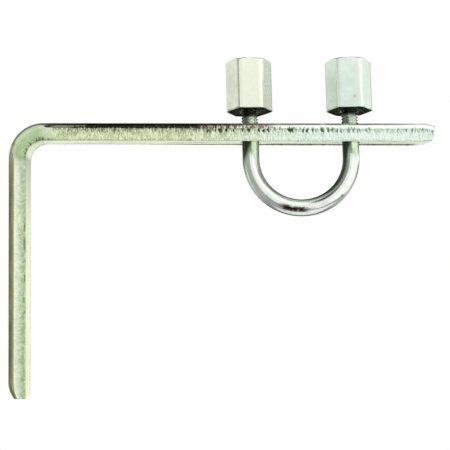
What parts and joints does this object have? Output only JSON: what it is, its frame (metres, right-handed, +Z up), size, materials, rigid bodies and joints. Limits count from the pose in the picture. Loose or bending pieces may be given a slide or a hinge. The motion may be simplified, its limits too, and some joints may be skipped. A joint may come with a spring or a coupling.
{
  "type": "ladder stabilizer",
  "caption": "L-shaped bent flat-bar bracket with a threaded U-bolt and tall hex nuts that clamp its arm onto a ladder rung.",
  "frame": {"origin": "the rung seat: on the arm's underside at the middle of the bar's width, midway between the legs of the U-bolt", "axes": "+X along the arm towards its free end, +Y across the bar along the ladder's rung, +Z up out of the top of the arm, with the bracket's leg going down at -X"},
  "size_m": [0.1967, 0.0382, 0.1592],
  "materials": {
    "plated_bar": "zinc plated hot-rolled bar, yellow-green chromate tint, sheared edges",
    "plated_rod": "bright zinc plated drawn rod",
    "plated_nut": "satin zinc plated drawn hexagon bar"
  },
  "bodies": {
    "bracket": {"bracket": "plated_bar"},
    "u_bolt": {"u_bolt": "plated_rod"},
    "nut_left": {"nut_left": "plated_nut"},
    "nut_right": {"nut_right": "plated_nut"}
  },
  "joints": [
    {"name": "nut_left_spin", "type": "hinge", "parent": "bracket", "child": "nut_left", "pos_m": [-0.02403, 0.0037, 0.02631], "axis": [-0.0244, 0.1633, 0.9863], "range_deg": [-1620, 2880]},
    {"name": "nut_right_spin", "type": "hinge", "parent": "bracket", "child": "nut_right", "pos_m": [0.02292, 0.00375, 0.02665], "axis": [-0.0244, 0.1633, 0.9863], "range_deg": [-1620, 2880]},
    {"name": "u_bolt_slide", "type": "slide", "parent": "bracket", "child": "u_bolt", "axis": [-0.0244, 0.1633, 0.9863], "range_m": [-0.0113, 0.0064]}
  ],
  "couplings": [
    {"joint": "nut_right_spin", "follows": "nut_left_spin", "ratio": 1},
    {"joint": "u_bolt_slide", "follows": "nut_left_spin", "m_per_rad": -0.00022459}
  ]
}
